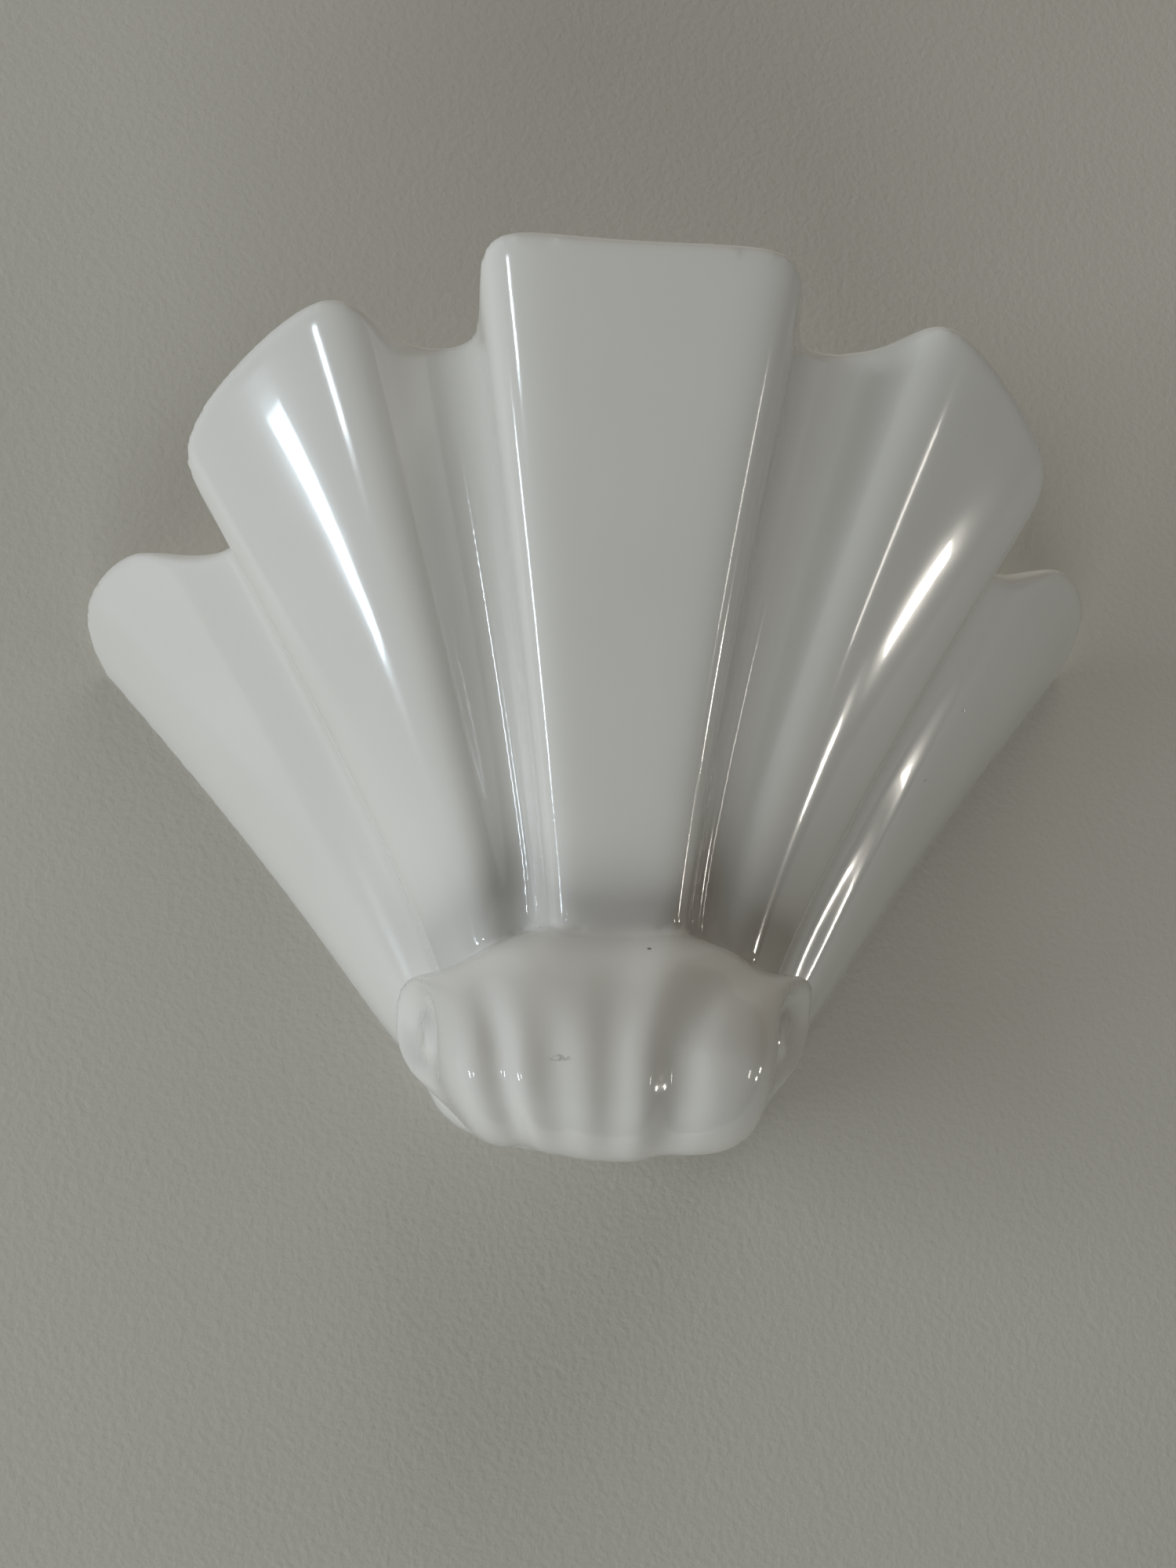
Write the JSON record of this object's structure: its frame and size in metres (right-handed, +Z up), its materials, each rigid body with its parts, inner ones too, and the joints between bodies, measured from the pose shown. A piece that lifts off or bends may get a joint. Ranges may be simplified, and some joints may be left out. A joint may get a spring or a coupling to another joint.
{
  "type": "shell wall sconce",
  "caption": "Wall-hung white glazed ceramic scallop-shell uplighter with a rolled scroll foot, hooked on a steel strap bracket with a small lamp holder and bulb.",
  "frame": {"origin": "middle of the two wall screw slots, on the wall plane", "axes": "+Z up; front faces -Y; the wall is the plane Y = 0; +X to the right seen from the front"},
  "size_m": [0.3246, 0.1513, 0.2214],
  "materials": {
    "white_glaze": "thick glossy clear glaze over off-white body",
    "zinc_steel": "zinc plated",
    "rivet_aluminium": "plain",
    "black_rubber": "matt",
    "tinned_copper": "dull tin",
    "brass": "plain",
    "white_nylon": "natural nylon",
    "white_phenolic": "moulded",
    "porcelain": "unglazed",
    "black_glass": "vitrified black",
    "nickel_brass": "nickel plated",
    "opal_glass": "opal",
    "brown_insulation": "satin",
    "blue_insulation": "satin",
    "earth_insulation": "satin, green with a yellow stripe"
  },
  "bodies": {
    "bracket": {"wall_bracket": "zinc_steel", "lamp_arm": "zinc_steel", "arm_rivets": "rivet_aluminium", "cable_grommet": "black_rubber", "earth_ring_terminal": "tinned_copper", "earth_washer": "zinc_steel", "earth_screw": "brass", "terminal_block_body": "white_nylon", "terminal_block_tubes": "brass", "terminal_block_screws": "zinc_steel", "terminal_block_fixing_screw": "zinc_steel", "entry_nipple": "zinc_steel", "lower_locknut": "zinc_steel", "upper_locknut": "zinc_steel", "toothed_lock_washer": "zinc_steel", "holder_cap": "white_phenolic", "holder_skirt": "white_phenolic", "holder_insert": "porcelain", "holder_terminal_screws": "zinc_steel", "holder_screw_shell": "brass", "live_lead": "brown_insulation", "neutral_lead": "blue_insulation", "earth_lead": "earth_insulation"},
    "shell": {"ceramic_shell": "white_glaze"},
    "bulb": {"bulb_contact_tip": "tinned_copper", "bulb_cap_insulator": "black_glass", "bulb_screw_cap": "nickel_brass", "bulb_collar": "white_phenolic", "bulb_globe": "opal_glass"},
    "contact": {"holder_centre_contact": "brass"}
  },
  "joints": [
    {"name": "shell_lift_off", "type": "slide", "parent": "bracket", "child": "shell", "axis": [0, -0.8192, 0.5736], "range_m": [0, 0.12]},
    {"name": "bulb_unscrew", "type": "slide", "parent": "bracket", "child": "bulb", "axis": [0, 0, 1], "range_m": [0, 0.024]},
    {"name": "contact_press", "type": "slide", "parent": "bracket", "child": "contact", "axis": [0, 0, -1], "range_m": [0, 0.0015]}
  ]
}
